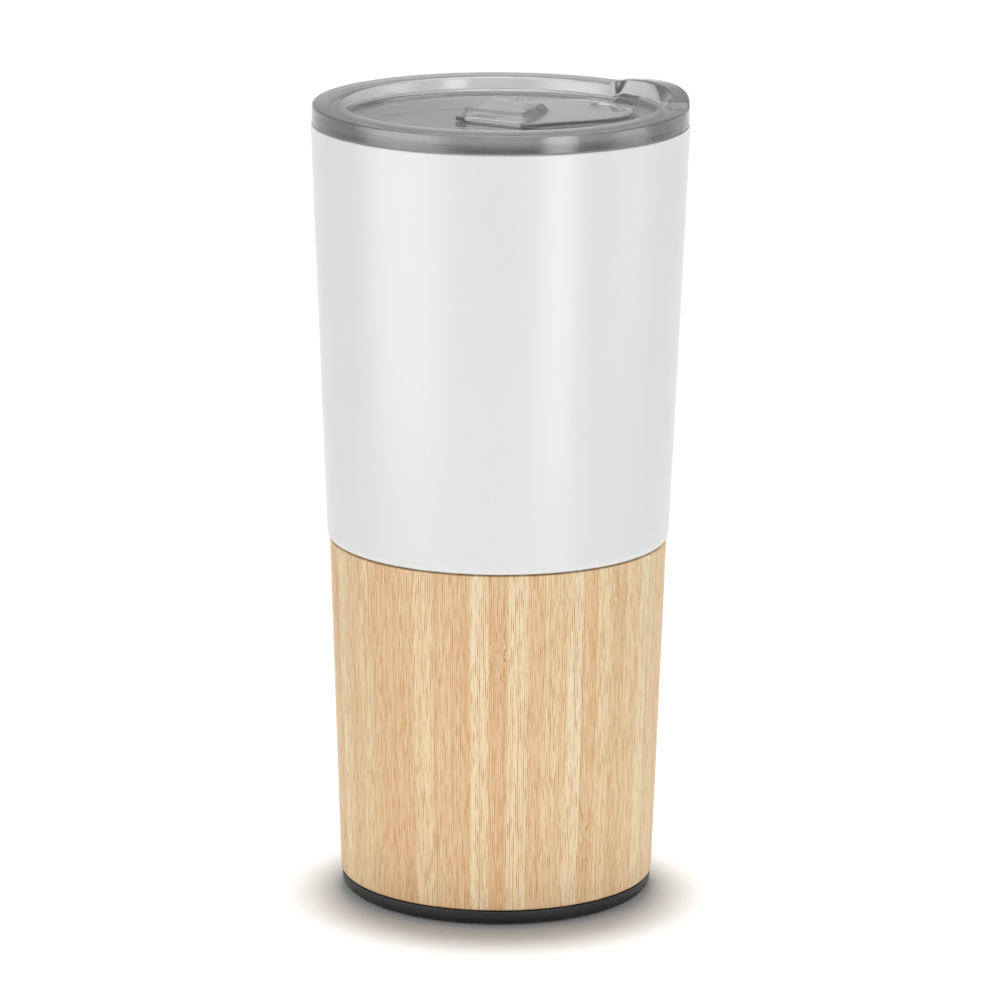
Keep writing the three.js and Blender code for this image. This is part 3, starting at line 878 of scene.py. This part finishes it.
def make_slider(material):
    bm = bmesh.new()
    outline = [
        (SLIDE_REAR, 0, 1.5 * MM),
        (GRIP_CENTRE, -GRIP_HALF_WIDTH, 2 * MM),
        (SLIDE_FRONT, -TONGUE_HALF_WIDTH, TONGUE_CORNER),
        (SLIDE_FRONT, TONGUE_HALF_WIDTH, TONGUE_CORNER),
        (GRIP_CENTRE, GRIP_HALF_WIDTH, 2 * MM),
    ]
    grip = [
        (SLIDE_REAR, 0, 1.5 * MM),
        (GRIP_CENTRE, -GRIP_HALF_WIDTH, 2 * MM),
        (GRIP_CENTRE + GRIP_HALF_LENGTH, 0, 1.5 * MM),
        (GRIP_CENTRE, GRIP_HALF_WIDTH, 2 * MM),
    ]
    pocket = rectangle(
        HOLE_CENTRE - POCKET_HALF_LENGTH,
        HOLE_CENTRE + POCKET_HALF_LENGTH,
        POCKET_HALF_WIDTH,
        POCKET_HALF_LENGTH,
    )
    stem = rectangle(
        STEM_CENTRE - STEM_HALF_LENGTH,
        STEM_CENTRE + STEM_HALF_LENGTH,
        STEM_HALF_WIDTH,
        0.3 * MM,
    )

    hollow_front = STEM_CENTRE - STEM_HALF_LENGTH - GRIP_WALL
    hollow_edge = 2.5 * GRIP_WALL
    hollow = [
        (SLIDE_REAR + hollow_edge, 0, 1 * MM),
        (GRIP_CENTRE, hollow_edge - GRIP_HALF_WIDTH, 1 * MM),
        (hollow_front, 2 * hollow_edge - GRIP_HALF_WIDTH, 1 * MM),
        (hollow_front, GRIP_HALF_WIDTH - 2 * hollow_edge, 1 * MM),
        (GRIP_CENTRE, GRIP_HALF_WIDTH - hollow_edge, 1 * MM),
    ]

    side = wall(bm, outline, [
        (-0.5 * MM, SLIDE_BOTTOM, 0),
        (0, SLIDE_BOTTOM, 0.15 * MM),
        (0, SLIDE_TOP, 0.35 * MM),
        (-0.6 * MM, SLIDE_TOP, 0),
    ])
    pocket_wall = wall(bm, pocket, [
        (0.5 * MM, SLIDE_TOP, 0),
        (0, SLIDE_TOP, 0.25 * MM),
        (-0.3 * MM, SLIDE_TOP - POCKET_DEPTH, 0.25 * MM),
        (-0.8 * MM, SLIDE_TOP - POCKET_DEPTH, 0),
    ])
    grip_wall = wall(bm, grip, [
        (-0.8 * MM, SLIDE_TOP, 0),
        (-1.1 * MM, SLIDE_TOP, 0.2 * MM),
        (-GRIP_SLOPE, GRIP_TOP, 0.35 * MM),
        (-GRIP_SLOPE - 0.8 * MM, GRIP_TOP, 0),
    ])
    stem_wall = wall(bm, stem, [
        (0, SLIDE_BOTTOM, 0),
        (0, STEM_FOOT, 0.3 * MM),
        (-0.6 * MM, STEM_FOOT, 0),
    ])
    hollow_wall = wall(bm, hollow, [
        (0.4 * MM, SLIDE_BOTTOM, 0),
        (0, SLIDE_BOTTOM, 0.15 * MM),
        (-0.8 * MM, GRIP_TOP - GRIP_WALL, 0.3 * MM),
        (-1.4 * MM, GRIP_TOP - GRIP_WALL, 0),
    ])
    fill_flat(bm, [side[0], stem_wall[0], hollow_wall[0]])
    fill_flat(bm, [hollow_wall[-1]])
    fill_flat(bm, [side[-1], grip_wall[0], pocket_wall[0]])
    fill_flat(bm, [pocket_wall[-1]])
    fill_flat(bm, [grip_wall[-1]])
    fill_flat(bm, [stem_wall[-1]])
    make_piece("thumb_slide", bm, material, "slide", "slider")


# Camera, floor and light

def make_camera():
    data = bpy.data.cameras.new("camera")
    data.sensor_width = SENSOR_WIDTH
    data.lens = LENS
    data.clip_start = CLIP_START
    data.clip_end = CLIP_END
    camera = bpy.data.objects.new("camera", data)
    bpy.context.scene.collection.objects.link(camera)
    turn = Matrix.Rotation(PHOTO_AZIMUTH, 4, "Z")
    place = Matrix.Translation((CAMERA_SIDE, -CAMERA_DISTANCE, CAMERA_HEIGHT))
    tilt = Matrix.Rotation(math.pi / 2 - CAMERA_PITCH, 4, "X") @ Matrix.Rotation(CAMERA_ROLL, 4, "Z")
    camera.matrix_world = turn @ place @ tilt
    bpy.context.scene.camera = camera


def make_floor():
    half = FLOOR_HALF_WIDTH
    mesh = bpy.data.meshes.new("floor")
    corners = [(-half, -half, 0), (half, -half, 0), (half, half, 0), (-half, half, 0)]
    mesh.from_pydata(corners, [], [(0, 1, 2, 3)])
    floor = bpy.data.objects.new("floor", mesh)
    bpy.context.scene.collection.objects.link(floor)
    nodes = MaterialNodes("floor")
    nodes.set(Base_Color=FLOOR_COLOUR, Roughness=0.9, Specular_IOR_Level=0.0)
    path = nodes.add("ShaderNodeLightPath").outputs
    seen = nodes.math("MAXIMUM", path["Is Camera Ray"], path["Is Glossy Ray"])
    seen = nodes.math("MAXIMUM", seen, path["Is Transmission Ray"])
    nodes.set(Emission_Color=WHITE, Emission_Strength=nodes.math("MULTIPLY", seen, FLOOR_GLOW))
    mesh.materials.append(nodes.material)


def darker_sides(nodes, direction):
    """Factor for the sky's light, above 1 in front and behind and below 1 at the sides."""
    squares = []
    for axis in ((0, 1, 0), (1, 0, 0)):
        along = nodes.dot(direction, Matrix.Rotation(PHOTO_AZIMUTH, 3, "Z") @ Vector(axis))
        squares.append(nodes.math("MULTIPLY", along, along))
    return nodes.math("MULTIPLY_ADD", nodes.math("SUBTRACT", *squares), SKY_SIDES, 1)


def make_world():
    """White room, darker overhead in reflections, whose light on the object comes from low down."""
    world = bpy.data.worlds.new("studio")
    bpy.context.scene.world = world
    world.use_nodes = True
    nodes = Nodes(world.node_tree)
    path = nodes.add("ShaderNodeLightPath").outputs
    direction = nodes.add("ShaderNodeTexCoord").outputs["Generated"]
    height = nodes.split(direction)["Z"]
    mirrored = nodes.math("SUBTRACT", path["Is Glossy Ray"], path["Is Transmission Ray"])
    room = nodes.blend(mirrored, 1, nodes.span(height, *HORIZON_ENDS, 1, ROOM_LEVEL))
    low_sky = nodes.span(height, *SKY_ENDS, SKY_LEVEL, 0)
    sky = nodes.math("MULTIPLY", low_sky, darker_sides(nodes, direction))
    background = nodes.tree.nodes["Background"]
    background.inputs["Color"].default_value = WHITE
    nodes.link(nodes.blend(path["Is Diffuse Ray"], room, sky), background.inputs["Strength"])


def fade_edges(data):
    """Lets a card's light fade out towards its left and right edges."""
    data.use_nodes = True
    nodes = Nodes(data.node_tree)
    place = nodes.add("ShaderNodeNewGeometry").outputs["Parametric"]
    from_edge = nodes.math("PINGPONG", nodes.split(place)["X"], 0.5)
    level = nodes.span(from_edge, 0, CARD_FADE, 0, 1, "SMOOTHSTEP")
    nodes.link(level, nodes.tree.nodes["Emission"].inputs["Strength"])


def reflected_card(name, width, tall, level):
    """Area light that shows in shiny surfaces and adds no other light."""
    data = bpy.data.lights.new(name, "AREA")
    data.shape = "RECTANGLE"
    data.size = width
    data.size_y = tall
    data.energy = level * math.pi * width * tall
    card = bpy.data.objects.new(name, data)
    bpy.context.scene.collection.objects.link(card)
    card.visible_camera = False
    card.visible_diffuse = False
    card.visible_transmission = False
    fade_edges(data)
    return card


def standing_card(name, azimuth, distance, width, level):
    """Upright card on the floor, at an angle from the camera."""
    card = reflected_card(name, width, CARD_TALL, level)
    turn = Matrix.Rotation(PHOTO_AZIMUTH + math.radians(azimuth), 4, "Z")
    place = Matrix.Translation((0, -distance, CARD_TALL / 2))
    card.matrix_world = turn @ place @ Matrix.Rotation(math.pi / 2, 4, "X")


def top_card(width, depth, height, forward, level):
    """Level card over the cup, with its middle towards the camera."""
    card = reflected_card("top_card", width, depth, level)
    turn = Matrix.Rotation(PHOTO_AZIMUTH, 4, "Z")
    card.matrix_world = turn @ Matrix.Translation((0, -forward, height))


def make_overhead():
    """Soft light from straight above and a little behind, which gives the shadow under the cup."""
    data = bpy.data.lights.new("overhead", "SUN")
    data.energy = OVERHEAD_LEVEL * math.pi
    data.angle = OVERHEAD_ANGLE
    lamp = bpy.data.objects.new("overhead", data)
    bpy.context.scene.collection.objects.link(lamp)
    lamp.visible_glossy = False
    turn = Matrix.Rotation(PHOTO_AZIMUTH, 4, "Z")
    lamp.matrix_world = turn @ Matrix.Rotation(OVERHEAD_TILT, 4, "X")


def set_node_material(node, material):
    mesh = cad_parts[node].data
    mesh.materials.clear()
    mesh.materials.append(material)


def main():
    scene = bpy.context.scene
    scene.view_settings.view_transform = "Standard"
    make_camera()
    make_world()
    make_floor()
    for name, card in STANDING_CARDS.items():
        standing_card(name, **card)
    top_card(**TOP_CARD)
    make_overhead()

    steel = bare_steel()
    smoke = smoke_plastic()
    make_shell(white_paint())
    make_sleeve(bamboo())
    make_base(black_plastic())
    make_liner(steel)
    make_lid(smoke)
    make_gasket(silicone())
    make_slider(smoke)
    set_node_material("foot_pad", pad_rubber())
    set_node_material("outer_bottom", steel)
    set_node_material("getter_clip", steel)
    set_node_material("getter_pellet", powder("getter_metal", GETTER_TONES))
    set_node_material("vacuum_seal", powder("seal_glass", SEAL_TONES))
    set_node_material("slider_keeper", smoke)


main()
